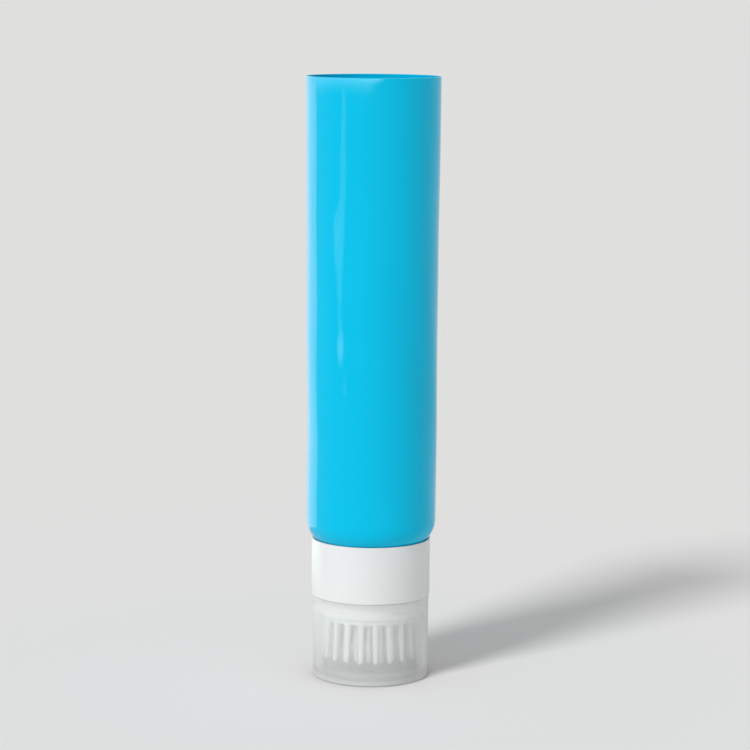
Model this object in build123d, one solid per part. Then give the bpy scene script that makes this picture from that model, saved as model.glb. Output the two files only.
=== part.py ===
from build123d import *
import os
from math import sqrt

# Scalp applicator bottle: an open-ended squeeze tube with a comb applicator head and a pull-off overcap.
# Lengths are millimetres. Z is the long axis, and the origin is the centre of the face it stands on.
# The bottle stands on its overcap, so the tube's open end is at the top.
# Rest state: the overcap is on, and the rotary shut-off between head and tube is closed.

# Squeeze tube: one moulding of sleeve, rounded shoulder and neck
tube_radius = 20.0          # outside of the sleeve where the shoulder's rounding begins
rim_flare = 0.6             # the open rim is this much wider in radius
rim_edge = 0.25             # rounding of the open rim, inside and outside
sleeve_wall = 0.6
sleeve_length = 136.3       # from the shoulder's rounding to the open rim
shoulder_radius = 8.3       # outside rounding between sleeve and shoulder
shoulder_wall = 1.6
neck_radius = 11.0
neck_wall = 1.8
neck_bead_height = 0.6      # ring that keeps the head on the neck
neck_bead_offset = 0.9      # from the neck's end to the start of the ring
neck_bead_width = 1.8

# Valve seat: the fixed half of the shut-off, pressed into the neck
seat_thickness = 1.2
spigot_length = 5.0
spigot_wall = 1.5
spigot_chamfer = 0.4
seat_fit = 0.03             # radial gap between spigot and neck bore
key_width = 1.4
key_height = 0.7            # how far a key stands out of the spigot
key_count = 2
key_clearance = 0.1
port_hub_radius = 2.4       # solid middle between the ports
port_margin = 0.25          # how far the ports stay inside the spigot's bore
port_sweep_angle = 76.0     # degrees that one port covers
port_count = 2
lug_sweep_angle = 20.0      # degrees of the flange that the stop lug covers

# Shut-off disc: the turning half of the shut-off, snapped over the neck and keyed to the head shell
disc_thickness = 1.6
disc_chamfer = 0.3
disc_fit = 0.05             # radial gap between the disc and the head shell
grip_wall = 1.4             # ring that reaches round the neck's bead
grip_lip_height = 1.4
grip_slot_count = 4
grip_slot_width = 1.5
turn_clearance = 0.2        # between pieces that turn on each other
valve_clearance = 0.1       # between the two faces of the shut-off
stop_sweep_angle = 16.0     # degrees that one stop block covers
stop_play_angle = 1.0       # degrees between lug and stop at either end of the turn
twist_angle = 90.0          # turn from closed to open

# Head shell: one moulding of collar, shelf, skirt and face
collar_step = 1.65          # how far the collar lies inside the tube's radius
collar_height = 17.75
collar_wall = 1.4
collar_edge = 0.3           # rounding of the collar's lower edge
lip_land = 0.4              # flat on the upper edge, outside the bevel that follows the shoulder
nest_gap = 0.25             # between that bevel and the shoulder
shelf_thickness = 1.8       # step that the disc sits on
retainer_height = 0.3       # ring in the collar's bore that keeps the disc on its shelf
retainer_width = 1.2
rib_count = 3               # ribs in the collar's bore that drive the disc
rib_width = 1.6
rib_height = 0.8
skirt_gap = 0.65            # between the bare skirt and the overcap
skirt_height = 5.75
skirt_wall = 1.5
skirt_edge = 0.7            # rounding of the skirt's lower edge
face_thickness = 1.5
guide_clearance = 0.09      # between the skirt's guide bead and the overcap
guide_width = 1.6
guide_offset = 0.6          # from the seam down to the guide bead

# Tine pad: soft disc with two staggered rows of tines, plugged into the face
pad_margin = 1.0            # how far the pad's rim lies inside the skirt
pad_thickness = 1.55
pad_edge = 0.4
tine_count = 20             # in each row
tine_length = 12.2
tine_root_radius = 0.95
tine_tip_radius = 0.7
tine_splay_angle = 4.2      # degrees that each tine leans outwards
tine_phase_angle = 6.3      # degrees from the X axis to the first tine of the outer row
tine_margin = 0.25          # between the outer row's roots and the pad's rim
row_spacing = 2.4           # between the two rows, measured along the radius
stem_radius = 3.0           # plug that holds the pad on the face
stem_fit = 0.05
barb_height = 0.8
barb_length = 1.4
barb_gap = 0.1
outlet_radius = 0.9
outlet_circle = 7.0         # radius of the circle that the outlets lie on
outlet_count = 8

# Overcap: frosted cup that the bottle stands on
cap_rim_step = 0.3          # how far the overcap's rim lies inside the collar's radius
cap_wall = 1.6
cap_floor = 1.5
cap_draft = 0.25            # radius lost from rim to base
cap_edge = 0.6              # rounding of the base's outer edge
cap_inner_edge = 1.2        # rounding inside, between wall and floor
cap_lead_in = 0.3           # chamfer inside the rim
foot_width = 2.0            # flat ring that touches the table
foot_recess = 0.4
seam_gap = 0.2              # between the overcap's rim and the collar
tip_gap = 4.75              # from the overcap's floor to the tips of the tines

cut_overrun = 1.0           # how far cutting tools reach past what they cut

# Heights, from the table up
z_floor = cap_floor
z_tips = z_floor + tip_gap
z_pad_low = z_tips + tine_length
z_face = z_pad_low + pad_thickness
z_seam = z_face + skirt_height
z_cap_rim = z_seam - seam_gap
z_disc_low = z_seam + shelf_thickness
z_disc_top = z_disc_low + disc_thickness
z_seat_low = z_disc_top + valve_clearance
z_neck_end = z_seat_low + seat_thickness
z_bead_low = z_neck_end + neck_bead_offset
z_bead_top = z_bead_low + neck_bead_width
z_lip = z_seam + collar_height

# Radii, from the outside in
collar_radius = tube_radius - collar_step
collar_bore = collar_radius - collar_wall
cap_rim_radius = collar_radius - cap_rim_step
cap_base_radius = cap_rim_radius - cap_draft
cap_rim_bore = cap_rim_radius - cap_wall
cap_floor_bore = cap_base_radius - cap_wall
skirt_radius = cap_rim_bore - skirt_gap
disc_radius = collar_bore - disc_fit
pad_radius = skirt_radius - pad_margin
outer_row_radius = pad_radius - tine_margin - tine_root_radius
inner_row_radius = outer_row_radius - row_spacing
neck_bore = neck_radius - neck_wall
spigot_radius = neck_bore - seat_fit
spigot_bore = spigot_radius - spigot_wall
neck_bead_radius = neck_radius + neck_bead_height
grip_bore = neck_bead_radius + turn_clearance
grip_radius = grip_bore + grip_wall

# The shoulder's arc: its centre lies where the collar's bevel, an offset of the arc, meets the lip's flat
shoulder_centre_radius = tube_radius - shoulder_radius
bevel_radius = shoulder_radius + nest_gap
bevel_reach = collar_radius - lip_land - shoulder_centre_radius
z_round = z_lip + sqrt(bevel_radius**2 - bevel_reach**2)
z_shoulder = z_round - shoulder_radius
z_rim = z_round + sleeve_length


def turned(*edges):
    """Solid of revolution about Z of a closed outline, drawn as radius against height."""
    return revolve(Plane.XZ * make_face(edges), Axis.Z)


def outline(*points):
    """Closed polygon of radius and height pairs."""
    return Polyline(*points, close=True)


def ring(inner, outer, low, high):
    """Plain ring about Z, or a disc where the inner radius is zero."""
    return turned(outline((inner, low), (outer, low), (outer, high), (inner, high)))


def block(inner, outer, low, high, middle_angle, sweep_angle):
    """Stretch of a ring, centred on an angle about Z."""
    section = outline((inner, low), (outer, low), (outer, high), (inner, high))
    swept = revolve(Plane.XZ * make_face(section), Axis.Z, sweep_angle)
    return Rot(0, 0, middle_angle - sweep_angle / 2) * swept


def holes(radius, circle, count, start_angle, low, high):
    """Upright round cutters on a circle, each longer than the wall it cuts."""
    depth = high - low + 2 * cut_overrun
    cutter = Pos(0, 0, (low + high) / 2) * Cylinder(radius, depth)
    return [place * cutter for place in PolarLocations(circle, count, start_angle)]


def ports(middle_angle, low, high):
    """Cutters for the sector-shaped ports, the first centred on an angle about Z."""
    outer = spigot_bore - port_margin
    first = block(
        port_hub_radius, outer, low - cut_overrun, high + cut_overrun, middle_angle, port_sweep_angle
    )
    return [place * first for place in PolarLocations(0, port_count)]


def squeeze_tube():
    """Sleeve with a rounded shoulder and a beaded neck, open at its upper end."""
    centre = (shoulder_centre_radius, z_round)
    rim_radius = tube_radius + rim_flare
    rim_bore = rim_radius - sleeve_wall
    z_edge = z_rim - rim_edge
    inner_height = shoulder_radius - shoulder_wall
    z_inner_shoulder = z_shoulder + shoulder_wall
    bead_slope = neck_bead_height
    section = [
        Line((rim_radius, z_edge), (tube_radius, z_round)),
        CenterArc(centre, shoulder_radius, 0, -90),
        Polyline(
            (shoulder_centre_radius, z_shoulder),
            (neck_radius, z_shoulder),
            (neck_radius, z_bead_top),
            (neck_bead_radius, z_bead_top - bead_slope / 2),
            (neck_bead_radius, z_bead_low + bead_slope),
            (neck_radius, z_bead_low),
            (neck_radius, z_neck_end),
            (neck_bore, z_neck_end),
            (neck_bore, z_inner_shoulder),
            (shoulder_centre_radius, z_inner_shoulder),
        ),
        EllipticalCenterArc(centre, shoulder_radius - sleeve_wall, inner_height, 270, arc_size=90),
        Line((tube_radius - sleeve_wall, z_round), (rim_bore, z_edge)),
        CenterArc((rim_bore + rim_edge, z_edge), rim_edge, 180, -90),
        Line((rim_bore + rim_edge, z_rim), (rim_radius - rim_edge, z_rim)),
        CenterArc((rim_radius - rim_edge, z_edge), rim_edge, 90, -90),
    ]
    return turned(*section) - key_blocks(key_clearance)


def key_blocks(clearance):
    """Keys on the spigot, or with a clearance the notches that they slide into."""
    reach = spigot_radius + key_height + clearance
    width = key_width + 2 * clearance
    height = spigot_length + clearance
    start = spigot_wall / 2
    key = Box(reach - start, width, height, align=(Align.MIN, Align.CENTER, Align.MIN))
    placed = Pos(neck_bore - start, 0, z_neck_end) * key
    trim = ring(0, reach, z_neck_end, z_neck_end + height)
    return [place * placed & trim for place in PolarLocations(0, key_count)]


def valve_seat():
    """Flanged plug in the neck: a disc with ports, a keyed spigot and the lug that meets the stops."""
    z_spigot_top = z_neck_end + spigot_length
    body = turned(
        outline(
            (0, z_seat_low),
            (neck_radius, z_seat_low),
            (neck_radius, z_neck_end),
            (spigot_radius, z_neck_end),
            (spigot_radius, z_spigot_top - spigot_chamfer),
            (spigot_radius - spigot_chamfer, z_spigot_top),
            (spigot_bore, z_spigot_top),
            (spigot_bore, z_neck_end),
            (0, z_neck_end),
        )
    )
    lug_radius = grip_bore - turn_clearance
    lug = block(spigot_radius, lug_radius, z_seat_low, z_neck_end, 0, lug_sweep_angle)
    return body + lug + key_blocks(0) - ports(0, z_seat_low, z_neck_end)


def shoulder_clearance():
    """Space that the tube's rounded shoulder needs, grown by the nesting gap."""
    return turned(
        Line((0, z_shoulder - nest_gap), (shoulder_centre_radius, z_shoulder - nest_gap)),
        CenterArc((shoulder_centre_radius, z_round), bevel_radius, 270, 90),
        Polyline(
            (tube_radius + nest_gap, z_round),
            (0, z_round),
            (0, z_shoulder - nest_gap),
        ),
    )


def drive_blocks(clearance, overrun):
    """Ribs in the collar's bore, or with a clearance and an overrun the cutters for the disc's notches."""
    depth = collar_wall / 2 + rib_height + clearance
    height = disc_thickness + 2 * overrun
    rib = Box(depth, rib_width + 2 * clearance, height, align=(Align.MAX, Align.CENTER, Align.MIN))
    placed = Pos(collar_bore + collar_wall / 2, 0, z_disc_low - overrun) * rib
    return [place * placed for place in PolarLocations(0, rib_count)]


def shutoff_disc():
    """Ported disc with notches for the drive ribs, a snap ring for the neck and the two stops."""
    disc = turned(
        outline(
            (0, z_disc_low),
            (disc_radius - disc_chamfer, z_disc_low),
            (disc_radius, z_disc_low + disc_chamfer),
            (disc_radius, z_disc_top),
            (0, z_disc_top),
        )
    )
    notches = drive_blocks(key_clearance, cut_overrun)
    return disc + grip_ring() + stops() - ports(twist_angle, z_disc_low, z_disc_top) - notches


def grip_ring():
    """Slotted ring whose inward lip catches above the neck's bead."""
    lip_bore = neck_radius + turn_clearance
    z_catch = z_bead_top + turn_clearance
    z_top = z_catch + grip_lip_height
    lead_in = grip_bore - lip_bore
    z_root = z_disc_top - disc_thickness / 2
    body = turned(
        outline(
            (grip_bore, z_root),
            (grip_radius, z_root),
            (grip_radius, z_top),
            (grip_bore, z_top),
            (lip_bore, z_top - lead_in),
            (lip_bore, z_catch),
            (grip_bore, z_catch),
        )
    )
    depth = grip_radius + cut_overrun
    height = z_top - z_neck_end + cut_overrun
    slot = Box(depth, grip_slot_width, height, align=(Align.MIN, Align.CENTER, Align.MIN))
    raised = Pos(0, 0, z_neck_end) * slot
    first_angle = 180 / grip_slot_count
    return body - [place * raised for place in PolarLocations(0, grip_slot_count, first_angle)]


def stops():
    """Two blocks in the snap ring that end the turn, one at closed and one at open."""
    inner = neck_radius + turn_clearance
    outer = grip_bore + grip_wall / 2
    beyond = lug_sweep_angle / 2 + stop_play_angle + stop_sweep_angle / 2
    z_root = z_disc_top - disc_thickness / 2
    return [
        block(inner, outer, z_root, z_neck_end, middle, stop_sweep_angle)
        for middle in (-beyond, twist_angle + beyond)
    ]


def head_shell():
    """Collar with a shelf and drive ribs, a skirt with the overcap's guide bead, and a face with outlets."""
    chamber_radius = skirt_radius - skirt_wall
    z_chamber = z_face + face_thickness
    z_guide = z_seam - guide_offset
    guide_draft = cap_draft * (z_cap_rim - z_guide + guide_width / 2) / z_cap_rim
    guide_radius = cap_rim_bore - guide_draft - guide_clearance
    hole_radius = stem_radius + stem_fit
    z_retainer = z_disc_top + disc_fit
    shell = turned(
        Line((hole_radius, z_face), (skirt_radius - skirt_edge, z_face)),
        CenterArc((skirt_radius - skirt_edge, z_face + skirt_edge), skirt_edge, 270, 90),
        Line((skirt_radius, z_face + skirt_edge), (skirt_radius, z_guide - guide_width)),
        ThreePointArc(
            (skirt_radius, z_guide - guide_width),
            (guide_radius, z_guide - guide_width / 2),
            (skirt_radius, z_guide),
        ),
        Polyline((skirt_radius, z_guide), (skirt_radius, z_seam), (collar_radius - collar_edge, z_seam)),
        CenterArc((collar_radius - collar_edge, z_seam + collar_edge), collar_edge, 270, 90),
        Polyline(
            (collar_radius, z_seam + collar_edge),
            (collar_radius, z_lip),
            (collar_bore, z_lip),
            (collar_bore, z_retainer + retainer_width),
            (collar_bore - retainer_height, z_retainer + retainer_width / 2),
            (collar_bore, z_retainer),
            (collar_bore, z_disc_low),
            (chamber_radius, z_disc_low),
            (chamber_radius, z_chamber),
            (hole_radius, z_chamber),
            (hole_radius, z_face),
        ),
    )
    outlets = holes(outlet_radius, outlet_circle, outlet_count, 0, z_face, z_chamber)
    ribs = drive_blocks(0, 0)
    return shell + ribs - shoulder_clearance() - outlets


def tine():
    """One tapered tine with a rounded tip, hanging from the origin, its root sunk into the pad."""
    sunk = pad_thickness / 2
    z_tip_centre = tine_tip_radius - tine_length
    return turned(
        Polyline(
            (0, sunk),
            (tine_root_radius, sunk),
            (tine_root_radius, 0),
            (tine_tip_radius, z_tip_centre),
        ),
        CenterArc((0, z_tip_centre), tine_tip_radius, 0, -90),
        Line((0, -tine_length), (0, sunk)),
    )


def tine_row(radius, start_angle):
    """Ring of tines that lean outwards."""
    leaning = Pos(0, 0, z_pad_low) * Rot(0, -tine_splay_angle, 0) * tine()
    return [place * leaning for place in PolarLocations(radius, tine_count, start_angle)]


def tine_pad():
    """Soft disc with outlets, two staggered rows of tines and a barbed stem."""
    z_barb = z_face + face_thickness + barb_gap
    z_barb_top = z_barb + barb_length
    barb_radius = stem_radius + barb_height
    body = turned(
        Line((0, z_pad_low), (pad_radius - pad_edge, z_pad_low)),
        CenterArc((pad_radius - pad_edge, z_pad_low + pad_edge), pad_edge, 270, 90),
        Polyline(
            (pad_radius, z_pad_low + pad_edge),
            (pad_radius, z_face),
            (stem_radius, z_face),
            (stem_radius, z_barb),
            (barb_radius, z_barb),
            (stem_radius, z_barb_top),
            (0, z_barb_top),
            (0, z_pad_low),
        ),
    )
    half_pitch_angle = 180 / tine_count
    outer_row = tine_row(outer_row_radius, tine_phase_angle)
    inner_row = tine_row(inner_row_radius, tine_phase_angle + half_pitch_angle)
    outlets = holes(outlet_radius, outlet_circle, outlet_count, 0, z_pad_low, z_face)
    return body + outer_row + inner_row - outlets


def overcap():
    """Drafted cup with a recessed foot, rounded base edges and a lead-in at the rim."""
    recess_radius = cap_base_radius - cap_edge - foot_width
    edge_centre = (cap_base_radius - cap_edge, cap_edge)
    inner_centre = (cap_floor_bore - cap_inner_edge, z_floor + cap_inner_edge)
    return turned(
        Polyline(
            (0, foot_recess),
            (recess_radius, foot_recess),
            (recess_radius + foot_recess, 0),
            (edge_centre[0], 0),
        ),
        CenterArc(edge_centre, cap_edge, 270, 90),
        Polyline(
            (cap_base_radius, cap_edge),
            (cap_rim_radius, z_cap_rim),
            (cap_rim_bore + cap_lead_in, z_cap_rim),
            (cap_rim_bore, z_cap_rim - cap_lead_in),
            (cap_floor_bore, inner_centre[1]),
        ),
        CenterArc(inner_centre, cap_inner_edge, 0, -90),
        Polyline((inner_centre[0], z_floor), (0, z_floor), (0, foot_recess)),
    )


def main():
    os.makedirs("parts", exist_ok=True)
    for piece in (squeeze_tube, valve_seat, shutoff_disc, head_shell, tine_pad, overcap):
        export_step(piece(), f"parts/{piece.__name__}.step")


main()
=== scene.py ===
from math import cos, radians, sin, tau

import bpy
from mathutils import Matrix, Vector


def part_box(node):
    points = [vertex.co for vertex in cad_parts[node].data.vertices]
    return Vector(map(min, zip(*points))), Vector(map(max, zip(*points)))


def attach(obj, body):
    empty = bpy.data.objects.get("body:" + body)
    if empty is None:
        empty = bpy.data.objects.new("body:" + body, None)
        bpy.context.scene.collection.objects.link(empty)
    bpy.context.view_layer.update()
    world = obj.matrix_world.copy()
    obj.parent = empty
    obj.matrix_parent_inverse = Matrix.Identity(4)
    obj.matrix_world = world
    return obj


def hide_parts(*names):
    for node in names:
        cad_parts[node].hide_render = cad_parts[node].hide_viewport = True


# Looks of the scalp applicator bottle. Lengths are metres, and Z is up.

MM = 0.001

# Camera, fitted to the photograph
IMAGE_PX = 750
FOCAL_PX = 2747.0
SENSOR_MM = 36.0
CAMERA_DISTANCE = 0.837
CAMERA_HEIGHT = 0.2132
CAMERA_PITCH_DEG = 8.10
CAMERA_YAW_DEG = 0.065
CAMERA_ROLL_DEG = 0.38

# Squeeze tube, as in the solid that it stands for
TUBE_RADIUS = 20.0 * MM
RIM_FLARE = 0.6 * MM
RIM_EDGE = 0.25 * MM
SLEEVE_WALL = 0.6 * MM
SLEEVE_LENGTH = 136.3 * MM
SHOULDER_RADIUS = 8.3 * MM
SHOULDER_WALL = 1.6 * MM
NECK_RADIUS = 11.0 * MM
NECK_BORE = 9.2 * MM
NECK_BEAD_HEIGHT = 0.6 * MM
NECK_BEAD_OFFSET = 0.9 * MM
NECK_BEAD_WIDTH = 1.8 * MM

# Its mesh. A narrow ring beside the rim's rounding keeps the shading of the straight wall true.
SEGMENTS = 192
SLEEVE_STEPS = 110
SHOULDER_STEPS = 20
EDGE_STEPS = 6
EDGE_BORDER = 0.1 * MM
SHARP_DEG = 35

# Soft waviness of the sleeve: waves round it, height of a full wave, depth, and two phases
WAVES = (
    (2, 0.260, 0.05 * MM, 0.4, 0.0),
    (3, 0.115, 0.08 * MM, 2.1, 0.9),
    (5, 0.075, 0.05 * MM, 0.7, 2.2),
    (8, 0.048, 0.03 * MM, 3.9, 1.3),
)
WAVE_INSET = 0.08 * MM
STIFF_LENGTH = 30 * MM
RIM_STIFF_LENGTH = 50 * MM

# Colours, as the two ends of a faint cloudiness where there are two
TUBE_COLORS = ((0.0, 0.525, 0.805), (0.0, 0.545, 0.84))
TUBE_SHINE_TINT = (0.5, 0.67, 0.78)
WHITE_COLORS = ((0.775, 0.795, 0.795), (0.80, 0.815, 0.815))
SOFT_COLORS = ((0.755, 0.77, 0.76), (0.785, 0.80, 0.79))
CLEAR_COLOR = (0.98, 0.99, 0.985)
MILK_COLOR = (0.87, 0.885, 0.88)
# Darker milk of the overcap's foot: painted shade in and under the thick foot
FOOT_MILK_PAINTED_SHADE_COLOR = (0.76, 0.775, 0.77)
FLOOR_COLOR = (0.83, 0.83, 0.82)
BACKDROP_COLOR = (0.738, 0.739, 0.729)

# Overcap: heights between which its wall turns to the thick foot, depths below its rim between which
# it turns milkier, and slants between which it does too
# The first pair of heights fades the milk into the foot's painted shade
FOOT_PAINTED_SHADE_HEIGHTS = (4.5 * MM, 3.0 * MM)
FOOT_MILK_HEIGHTS = (4.5 * MM, 2.5 * MM)
FOOT_DENSE_HEIGHTS = (2.2 * MM, 1.2 * MM)
RIM_MILK_DEPTHS = (5 * MM, 2 * MM)
MILK_SLANTS = (0.4, 0.65)

# How much of the light that meets the overcap passes it: straight on, spread, and into its shadow,
# in the thin wall and in the dense foot
STRAIGHT_ON_COLOR = (0.98, 0.985, 0.98)
SPREAD_COLORS = ((0.9, 0.915, 0.91), (0.3, 0.31, 0.305))
SHADOW_COLORS = ((0.74, 0.75, 0.745), (0.1, 0.105, 0.1))

# Studio
FLOOR_HALF_WIDTH = 20.0
WORLD_LEVEL = 0.5
SUN_LEVEL = 1.85
SUN_SPREAD_DEG = 14
SUN_FROM = (-0.6, -0.75, 0.85)

# Softboxes. Each row is a height, the azimuths of the box's two ends there, counted from the front to
# the right, and the level of its light, or its levels at the two ends.
CARD_STEPS = 50
SIDE_BOX_DISTANCE = 0.155
SIDE_BOX = ((-0.01, -160, -108, 0.4, 2.1), (0.4, -160, -108, 0.4, 2.1))
FAR_BOX_DISTANCE = 0.55
TOP_BOX_SOFT_SHARE = 0.1
TOP_BOX = (
    (0.156, -112, 0, 0),
    (0.158, -112, 2, 0.7, 2.6),
    (0.160, -112, 5, 1.1, 4.8),
    (0.1615, -112, 9, 1.6, 8),
    (0.163, -112, 17, 2, 15),
    (0.6, -112, 22, 2, 15),
)
WINDOW = (
    (0.0175, -58, -57, 0),
    (0.020, -59.5, -55, 2.5),
    (0.025, -62, -52, 5.5),
    (0.030, -62, -50.5, 6.5),
    (0.035, -61.5, -50.5, 6),
    (0.040, -58.5, -50.5, 3),
    (0.045, -60.5, -52.5, 2.2),
    (0.051, -60, -55, 1.3),
    (0.057, -61, -52.5, 2.2),
    (0.070, -63, -53, 2.6),
    (0.077, -69, -51.5, 3.2),
    (0.085, -70.5, -50.5, 3.4),
    (0.092, -70.5, -50, 3.2),
    (0.0965, -64, -49, 2.8),
    (0.101, -60.5, -47.5, 2.4),
    (0.106, -57.5, -46.5, 2.4),
    (0.124, -57, -45.5, 2.4),
    (0.128, -55.5, -48, 2.4),
    (0.157, -54, -47, 2.4),
)
WINDOW_FOOT = (
    (0.003, -50, -48, 0.6),
    (0.006, -51.5, -46, 2.2),
    (0.0105, -51.5, -46, 2.2),
    (0.014, -50.5, -47.5, 0.6),
)

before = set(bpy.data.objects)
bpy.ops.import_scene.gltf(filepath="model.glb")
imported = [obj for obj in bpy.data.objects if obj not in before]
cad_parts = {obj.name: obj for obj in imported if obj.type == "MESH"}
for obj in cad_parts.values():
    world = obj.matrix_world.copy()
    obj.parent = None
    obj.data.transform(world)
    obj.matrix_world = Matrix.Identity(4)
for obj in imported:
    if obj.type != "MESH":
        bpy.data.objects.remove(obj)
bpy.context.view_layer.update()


# Node trees

def new_material(name):
    """Material with an empty node tree, its tree and its output node."""
    material = bpy.data.materials.new(name)
    material.use_nodes = True
    tree = material.node_tree
    tree.nodes.clear()
    return material, tree, tree.nodes.new("ShaderNodeOutputMaterial")


def add_node(tree, kind, values=None, **settings):
    """Node with its settings, and its inputs by name."""
    node = tree.nodes.new(kind)
    for key, value in settings.items():
        setattr(node, key, value)
    for key, value in (values or {}).items():
        node.inputs[key].default_value = value
    return node


def noise_factor(tree, scale, detail, stretch=(1, 1, 1)):
    """Noise in the object's own coordinates."""
    place = add_node(tree, "ShaderNodeTexCoord")
    mapping = add_node(tree, "ShaderNodeMapping", {"Scale": stretch})
    noise = add_node(tree, "ShaderNodeTexNoise", {"Scale": scale, "Detail": detail})
    tree.links.new(place.outputs["Object"], mapping.inputs["Vector"])
    tree.links.new(mapping.outputs["Vector"], noise.inputs["Vector"])
    return noise.outputs["Fac"]


def mapped(tree, value, ends, results):
    """A value spread between two results as it goes from one end to the other, and held beyond them."""
    spread = add_node(
        tree,
        "ShaderNodeMapRange",
        {"From Min": ends[0], "From Max": ends[1], "To Min": results[0], "To Max": results[1]},
    )
    tree.links.new(value, spread.inputs["Value"])
    return spread.outputs["Result"]


def ranged(tree, factor, results):
    """A noise of about 0.3 to 0.7 spread between two results."""
    return mapped(tree, factor, (0.3, 0.7), results)


def joined(tree, operation, first, *others):
    """Several values joined by one operation, such as a sum."""
    for value in others:
        both = add_node(tree, "ShaderNodeMath", operation=operation)
        tree.links.new(first, both.inputs[0])
        tree.links.new(value, both.inputs[1])
        first = both.outputs[0]
    return first


def blended(tree, factor, first, second):
    """Colour between two, by a factor."""
    mix = add_node(tree, "ShaderNodeMix", data_type="RGBA")
    mix.inputs["A"].default_value = (*first, 1)
    mix.inputs["B"].default_value = (*second, 1)
    tree.links.new(factor, mix.inputs["Factor"])
    return mix.outputs["Result"]


def bumped(tree, factor, strength, distance):
    """Normal that follows a factor as height."""
    bump = add_node(tree, "ShaderNodeBump", {"Strength": strength, "Distance": distance})
    tree.links.new(factor, bump.inputs["Height"])
    return bump.outputs["Normal"]


def mixed(tree, factor, first, second):
    """Shader between two, by a factor."""
    mix = add_node(tree, "ShaderNodeMixShader")
    tree.links.new(factor, mix.inputs["Fac"])
    tree.links.new(first, mix.inputs[1])
    tree.links.new(second, mix.inputs[2])
    return mix.outputs[0]


# Materials

def plastic(name, settings, colors, roughness, cloud, grain, bump):
    """Opaque plastic with a faint cloudiness in its colour and roughness, and a fine grain.

    The cloud and the grain are the settings of two noises, and the bump is how the grain stands out."""
    material, tree, output = new_material(name)
    surface = add_node(tree, "ShaderNodeBsdfPrincipled", settings)
    cloud_factor = noise_factor(tree, **cloud)
    grain_factor = noise_factor(tree, **grain)
    links = tree.links
    links.new(blended(tree, ranged(tree, cloud_factor, (0, 1)), *colors), surface.inputs["Base Color"])
    links.new(ranged(tree, cloud_factor, roughness), surface.inputs["Roughness"])
    links.new(bumped(tree, grain_factor, **bump), surface.inputs["Normal"])
    links.new(surface.outputs[0], output.inputs["Surface"])
    return material


def tube_material(name, roughness, shine):
    """Blue of the tube, for one side of its wall."""
    return plastic(
        name,
        settings={"IOR": 1.5, "Specular IOR Level": shine, "Specular Tint": (*TUBE_SHINE_TINT, 1)},
        colors=TUBE_COLORS,
        roughness=roughness,
        cloud={"scale": 45, "detail": 3, "stretch": (1, 1, 0.35)},
        grain={"scale": 2600, "detail": 2},
        bump={"strength": 0.02, "distance": 0.02 * MM},
    )


def white_material():
    """Satin white moulding with a little light under its skin."""
    return plastic(
        "white_satin_plastic",
        settings={
            "IOR": 1.49,
            "Subsurface Weight": 0.25,
            "Subsurface Radius": (1.0, 1.0, 1.0),
            "Subsurface Scale": 0.8 * MM,
        },
        colors=WHITE_COLORS,
        roughness=(0.27, 0.33),
        cloud={"scale": 60, "detail": 3},
        grain={"scale": 1800, "detail": 3},
        bump={"strength": 0.10, "distance": 0.03 * MM},
    )


def soft_material():
    """Soft white elastomer of the pad and tines, which glows a little through its thin parts."""
    return plastic(
        "soft_white_elastomer",
        settings={
            "IOR": 1.42,
            "Subsurface Weight": 0.6,
            "Subsurface Radius": (1.0, 1.0, 0.95),
            "Subsurface Scale": 1.2 * MM,
        },
        colors=SOFT_COLORS,
        roughness=(0.42, 0.55),
        cloud={"scale": 90, "detail": 3},
        grain={"scale": 1500, "detail": 3},
        bump={"strength": 0.15, "distance": 0.03 * MM},
    )


def frosted_wall(tree, height):
    """The frosted wall as the eye sees it: part of the light passes, blurred, and part is scattered.

    It looks milkier where the wall is seen at a slant, in its thick foot and near its rim."""
    cloud = noise_factor(tree, scale=70, detail=3)
    grain = noise_factor(tree, scale=2200, detail=3)
    normal = bumped(tree, grain, strength=0.12, distance=0.03 * MM)
    slant = add_node(tree, "ShaderNodeLayerWeight", {"Blend": 0.5}).outputs["Facing"]
    z_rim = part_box("overcap")[1].z
    rim_heights = [z_rim - depth for depth in RIM_MILK_DEPTHS]

    clear = add_node(
        tree,
        "ShaderNodeBsdfPrincipled",
        {"Base Color": (*CLEAR_COLOR, 1), "IOR": 1.12, "Transmission Weight": 1.0},
    )
    tree.links.new(ranged(tree, cloud, (0.17, 0.21)), clear.inputs["Roughness"])
    tree.links.new(normal, clear.inputs["Normal"])

    milky = add_node(tree, "ShaderNodeBsdfPrincipled", {"Roughness": 0.4, "IOR": 1.49})
    glow = add_node(tree, "ShaderNodeBsdfTranslucent")
    # The milk darkens towards the foot: painted shade
    milk_with_painted_foot_shade = blended(tree, mapped(tree, height, FOOT_PAINTED_SHADE_HEIGHTS, (0, 1)), MILK_COLOR, FOOT_MILK_PAINTED_SHADE_COLOR)
    tree.links.new(milk_with_painted_foot_shade, milky.inputs["Base Color"])
    tree.links.new(milk_with_painted_foot_shade, glow.inputs["Color"])
    tree.links.new(normal, milky.inputs["Normal"])
    glow_share = mapped(tree, height, FOOT_DENSE_HEIGHTS, (0.4, 0.25))
    scattered = mixed(tree, glow_share, milky.outputs[0], glow.outputs[0])

    milky_share = joined(
        tree,
        "ADD",
        ranged(tree, cloud, (0.38, 0.42)),
        mapped(tree, slant, MILK_SLANTS, (0, 0.55)),
        mapped(tree, height, FOOT_MILK_HEIGHTS, (0, 0.5)),
        mapped(tree, height, rim_heights, (0, 0.25)),
    )
    return mixed(tree, milky_share, clear.outputs[0], scattered)


def frosted_inward(tree, height, dense):
    """The frosted wall for light on its way in or out: most goes straight on, and little in the foot."""
    straight_on = add_node(tree, "ShaderNodeBsdfTransparent", {"Color": (*STRAIGHT_ON_COLOR, 1)})
    spread = add_node(tree, "ShaderNodeBsdfTranslucent")
    tree.links.new(blended(tree, dense, *SPREAD_COLORS), spread.inputs["Color"])
    spread_share = mapped(tree, height, FOOT_DENSE_HEIGHTS, (0.3, 1))
    return mixed(tree, spread_share, straight_on.outputs[0], spread.outputs[0])


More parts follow.
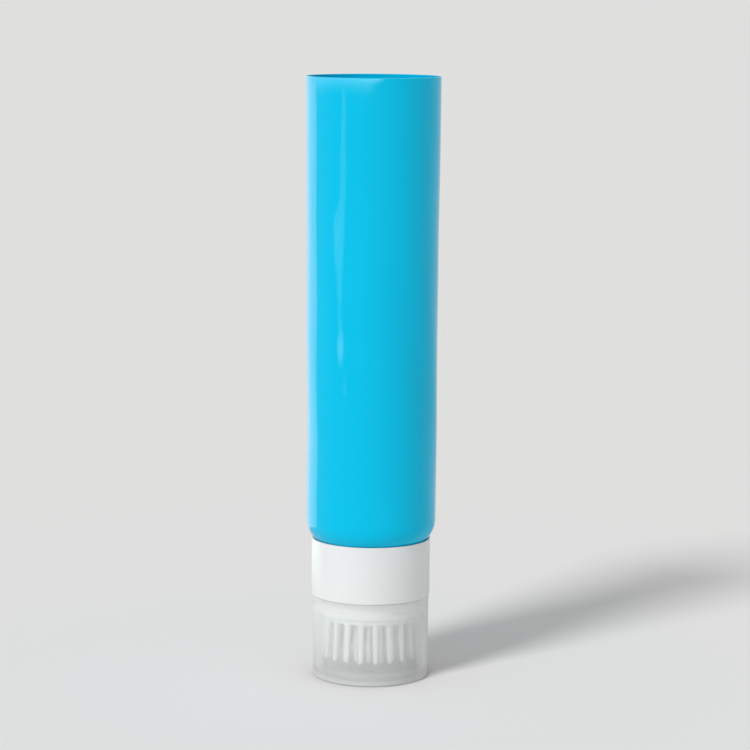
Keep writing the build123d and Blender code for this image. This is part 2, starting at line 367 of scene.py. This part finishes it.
def frosted_material():
    """Milky frosted plastic, with a soft light inside the cup and a pale shadow."""
    material, tree, output = new_material("frosted_clear_plastic")
    place = add_node(tree, "ShaderNodeTexCoord")
    split = add_node(tree, "ShaderNodeSeparateXYZ")
    tree.links.new(place.outputs["Object"], split.inputs[0])
    height = split.outputs["Z"]
    dense = mapped(tree, height, FOOT_DENSE_HEIGHTS, (0, 1))
    shadow = add_node(tree, "ShaderNodeBsdfTransparent")
    tree.links.new(blended(tree, dense, *SHADOW_COLORS), shadow.inputs["Color"])
    path = add_node(tree, "ShaderNodeLightPath").outputs
    wall = frosted_wall(tree, height)
    lit = mixed(tree, path["Is Diffuse Ray"], wall, frosted_inward(tree, height, dense))
    shown = mixed(tree, path["Is Shadow Ray"], lit, shadow.outputs[0])
    tree.links.new(shown, output.inputs["Surface"])
    return material


def floor_material():
    """Plain pale paper."""
    material, tree, output = new_material("floor_paper")
    paper = add_node(tree, "ShaderNodeBsdfDiffuse", {"Color": (*FLOOR_COLOR, 1)})
    tree.links.new(paper.outputs[0], output.inputs["Surface"])
    return material


def card_material():
    """Light that adds to what lies behind it, as strong as the mesh says at each place."""
    material, tree, output = new_material("card_light")
    level = add_node(tree, "ShaderNodeAttribute", attribute_name="level")
    light = add_node(tree, "ShaderNodeEmission")
    behind = add_node(tree, "ShaderNodeBsdfTransparent")
    both = add_node(tree, "ShaderNodeAddShader")
    tree.links.new(level.outputs["Fac"], light.inputs["Strength"])
    tree.links.new(light.outputs[0], both.inputs[0])
    tree.links.new(behind.outputs[0], both.inputs[1])
    tree.links.new(both.outputs[0], output.inputs["Surface"])
    return material


# Meshes

def grid_faces(rows, columns, closed):
    """Quads between the points of a grid, row by row. A closed grid also joins its ends, both ways."""
    corners = ((0, 0), (0, 1), (1, 1), (1, 0))
    return [
        tuple((row + down) % rows * columns + (column + along) % columns for down, along in corners)
        for row in range(rows if closed else rows - 1)
        for column in range(columns if closed else columns - 1)
    ]


def add_object(name, vertices, faces, materials):
    """Object with a mesh of its own, in the scene."""
    mesh = bpy.data.meshes.new(name)
    mesh.from_pydata(vertices, [], faces)
    for material in materials:
        mesh.materials.append(material)
    added = bpy.data.objects.new(name, mesh)
    bpy.context.scene.collection.objects.link(added)
    return added


def eased(value, low, high):
    """Smooth step from 0 at low to 1 at high."""
    share = min(max((value - low) / (high - low), 0), 1)
    return share * share * (3 - 2 * share)


def arc(centre, radii, start_deg, end_deg, steps):
    """Points of an elliptical arc of radius against height, without its last point."""
    angles = [radians(start_deg + (end_deg - start_deg) * step / steps) for step in range(steps)]
    return [(centre[0] + radii[0] * cos(angle), centre[1] + radii[1] * sin(angle)) for angle in angles]


def straight(start, end, steps):
    """Points from start towards end, without the end."""
    return [tuple(a + (b - a) * step / steps for a, b in zip(start, end)) for step in range(steps)]


# Pieces

def wave_offset(angle, height, z_round, z_rim):
    """How far the sleeve's wall lies outside its true radius at a place, and 0 below the sleeve."""
    offset = sum(
        depth * cos(count * angle + phase + tau * height / length + rise * sin(angle))
        for count, length, depth, phase, rise in WAVES
    )
    above_round = eased(height, z_round, z_round + STIFF_LENGTH)
    below_rim = 1 - eased(height, z_rim - RIM_STIFF_LENGTH, z_rim)
    return above_round * below_rim * (offset - WAVE_INSET)


def tube_profile(z_neck_end, z_round, z_rim):
    """Closed outline of the tube's wall in two parts, up the outside to the rim and down the inside."""
    centre = (TUBE_RADIUS - SHOULDER_RADIUS, z_round)
    outer_radii = (SHOULDER_RADIUS, SHOULDER_RADIUS)
    inner_radii = (SHOULDER_RADIUS - SLEEVE_WALL, SHOULDER_RADIUS - SHOULDER_WALL)
    z_bead = z_neck_end + NECK_BEAD_OFFSET
    bead_radius = NECK_RADIUS + NECK_BEAD_HEIGHT
    rim_out = TUBE_RADIUS + RIM_FLARE
    rim_in = rim_out - SLEEVE_WALL
    z_edge = z_rim - RIM_EDGE
    edge_radii = (RIM_EDGE, RIM_EDGE)
    outside = [
        (NECK_BORE, z_neck_end),
        (NECK_RADIUS, z_neck_end),
        (NECK_RADIUS, z_bead),
        (bead_radius, z_bead + NECK_BEAD_HEIGHT),
        (bead_radius, z_bead + NECK_BEAD_WIDTH - NECK_BEAD_HEIGHT / 2),
        (NECK_RADIUS, z_bead + NECK_BEAD_WIDTH),
        (NECK_RADIUS, z_round - SHOULDER_RADIUS),
        *arc(centre, outer_radii, -90, 0, SHOULDER_STEPS),
        *straight((TUBE_RADIUS, z_round), (rim_out, z_edge - EDGE_BORDER), SLEEVE_STEPS),
        (rim_out, z_edge - EDGE_BORDER),
        *arc((rim_out - RIM_EDGE, z_edge), edge_radii, 0, 90, EDGE_STEPS),
    ]
    inside = [
        *arc((rim_in + RIM_EDGE, z_edge), edge_radii, 90, 180, EDGE_STEPS),
        (rim_in, z_edge),
        *straight((rim_in, z_edge - EDGE_BORDER), (TUBE_RADIUS - SLEEVE_WALL, z_round), SLEEVE_STEPS),
        *arc(centre, inner_radii, 0, -90, SHOULDER_STEPS),
        (centre[0], z_round - inner_radii[1]),
        (NECK_BORE, z_round - inner_radii[1]),
    ]
    return outside, inside


def add_tube():
    """The tube with its sleeve's soft waviness, in place of the plain solid: glossy outside, matt inside."""
    low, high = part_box("squeeze_tube")
    z_round = high.z - SLEEVE_LENGTH
    outside, inside = tube_profile(low.z, z_round, high.z)
    vertices = []
    for radius, height in outside + inside:
        for step in range(SEGMENTS):
            angle = tau * step / SEGMENTS
            place = radius + wave_offset(angle, height, z_round, high.z)
            vertices.append((place * cos(angle), place * sin(angle), height))
    faces = grid_faces(len(outside + inside), SEGMENTS, closed=True)
    sides = [
        tube_material("tube_blue_gloss", roughness=(0.03, 0.045), shine=0.2),
        tube_material("tube_blue_matt", roughness=(0.45, 0.55), shine=0.0),
    ]
    tube = add_object("tube", vertices, faces, sides)
    tube.data.set_sharp_from_angle(angle=radians(SHARP_DEG))
    for polygon in tube.data.polygons:
        polygon.use_smooth = True
        polygon.material_index = int(polygon.index >= len(outside) * SEGMENTS)
    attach(tube, "tube")
    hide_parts("squeeze_tube")


def paint(node, material):
    """Gives a CAD node's object one material."""
    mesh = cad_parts[node].data
    mesh.materials.clear()
    mesh.materials.append(material)


# Stage, lights and camera

def add_floor():
    """Wide level floor."""
    half = FLOOR_HALF_WIDTH
    corners = [(-half, -half, 0), (half, -half, 0), (half, half, 0), (-half, half, 0)]
    floor = add_object("floor", corners, [(0, 1, 2, 3)], [floor_material()])


def add_world():
    """Even pale light from all round, and a pale backdrop beyond the floor."""
    world = bpy.data.worlds.new("studio")
    world.use_nodes = True
    tree = world.node_tree
    tree.nodes.clear()
    output = add_node(tree, "ShaderNodeOutputWorld")
    fill = add_node(tree, "ShaderNodeBackground", {"Color": (1, 1, 1, 1), "Strength": WORLD_LEVEL})
    backdrop = add_node(tree, "ShaderNodeBackground", {"Color": (*BACKDROP_COLOR, 1)})
    path = add_node(tree, "ShaderNodeLightPath").outputs
    rays = (path["Is Camera Ray"], path["Is Glossy Ray"], path["Is Transmission Ray"])
    shown = mixed(tree, joined(tree, "MAXIMUM", *rays), fill.outputs[0], backdrop.outputs[0])
    tree.links.new(shown, output.inputs["Surface"])
    bpy.context.scene.world = world


def add_sun():
    """Key light from the front left, above."""
    data = bpy.data.lights.new("key", "SUN")
    data.energy = SUN_LEVEL
    data.angle = radians(SUN_SPREAD_DEG)
    sun = bpy.data.objects.new("key", data)
    sun.rotation_euler = Vector(SUN_FROM).to_track_quat("Z", "Y").to_euler()
    bpy.context.scene.collection.objects.link(sun)


def add_card(name, distance, rows, soft_share=0):
    """Upright curved softbox that only gloss shows.

    Its light fades out over the soft share of its width at the last end."""
    vertices = []
    levels = []
    for height, first, last, *ends in rows:
        for step in range(CARD_STEPS + 1):
            share = step / CARD_STEPS
            azimuth = radians(first + (last - first) * share)
            fade = min((1 - share) / soft_share, 1) if soft_share else 1
            vertices.append((distance * sin(azimuth), -distance * cos(azimuth), height))
            levels.append((ends[0] + (ends[-1] - ends[0]) * share) * fade)
    faces = grid_faces(len(rows), CARD_STEPS + 1, closed=False)
    card = add_object(name, vertices, faces, [card_material()])
    card.data.attributes.new("level", "FLOAT", "POINT").data.foreach_set("value", levels)
    for kind in ("camera", "diffuse", "transmission", "volume_scatter", "shadow"):
        setattr(card, f"visible_{kind}", False)


def add_cards():
    """Softboxes whose reflections show on the glossy sleeve: a band, a patch, a thin line and its foot."""
    add_card("side_box", SIDE_BOX_DISTANCE, SIDE_BOX)
    add_card("top_box", FAR_BOX_DISTANCE, TOP_BOX, TOP_BOX_SOFT_SHARE)
    add_card("window", FAR_BOX_DISTANCE, WINDOW)
    add_card("window_foot", FAR_BOX_DISTANCE, WINDOW_FOOT)


def add_camera():
    """Camera at the photograph's place and angle."""
    data = bpy.data.cameras.new("camera")
    data.sensor_width = SENSOR_MM
    data.lens = FOCAL_PX / IMAGE_PX * SENSOR_MM
    camera = bpy.data.objects.new("camera", data)
    camera.matrix_world = (
        Matrix.Translation((0, -CAMERA_DISTANCE, CAMERA_HEIGHT))
        @ Matrix.Rotation(radians(-CAMERA_YAW_DEG), 4, "Z")
        @ Matrix.Rotation(radians(90 - CAMERA_PITCH_DEG), 4, "X")
        @ Matrix.Rotation(radians(CAMERA_ROLL_DEG), 4, "Z")
    )
    bpy.context.scene.collection.objects.link(camera)
    bpy.context.scene.camera = camera


add_tube()
white = white_material()
for white_node in ("valve_seat", "shutoff_disc", "head_shell"):
    paint(white_node, white)
paint("tine_pad", soft_material())
paint("overcap", frosted_material())

add_floor()
add_world()
add_sun()
add_cards()
add_camera()
bpy.context.scene.view_settings.view_transform = "Standard"
